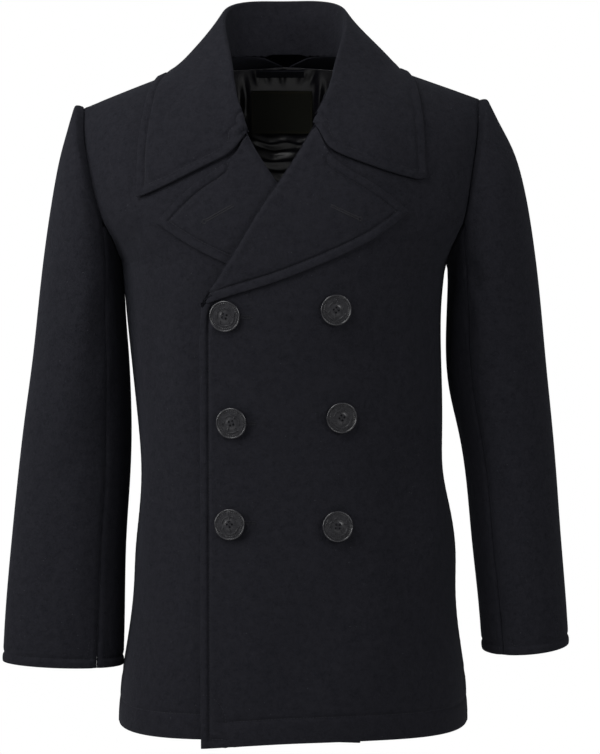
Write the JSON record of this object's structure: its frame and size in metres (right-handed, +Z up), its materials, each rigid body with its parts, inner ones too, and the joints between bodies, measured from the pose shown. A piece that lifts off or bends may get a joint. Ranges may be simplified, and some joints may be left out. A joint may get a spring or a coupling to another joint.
{
  "type": "pea coat",
  "caption": "Double-breasted melton coat with a broad turned-down collar, wide lapels, set-in sleeves and large buttons, hollow as worn and open at neck, cuffs and hem.",
  "frame": {"origin": "middle of the neck, level with the seam between collar and shoulder, where the wearer's shoulders hold the coat", "axes": "+Z up, -Y the front, +X the wearer's left"},
  "size_m": [0.6525, 0.3082, 0.8354],
  "materials": {
    "melton": "heavy napped wool, matt",
    "satin": "smooth satin with a soft sheen",
    "label": "fine woven label, bare",
    "button": "moulded, half gloss"
  },
  "bodies": {
    "root": {"left_front": "melton", "right_front": "melton", "left_back": "melton", "right_back": "melton", "left_lapel": "melton", "right_lapel": "melton", "collar": "melton", "left_top_sleeve": "melton", "left_under_sleeve": "melton", "right_top_sleeve": "melton", "right_under_sleeve": "melton", "back_lining": "satin", "neck_label": "label", "hanger_loop": "melton", "button_right_top": "button", "button_right_middle": "button", "button_right_bottom": "button", "button_left_top": "button", "button_left_middle": "button", "button_left_bottom": "button"}
  },
  "joints": []
}
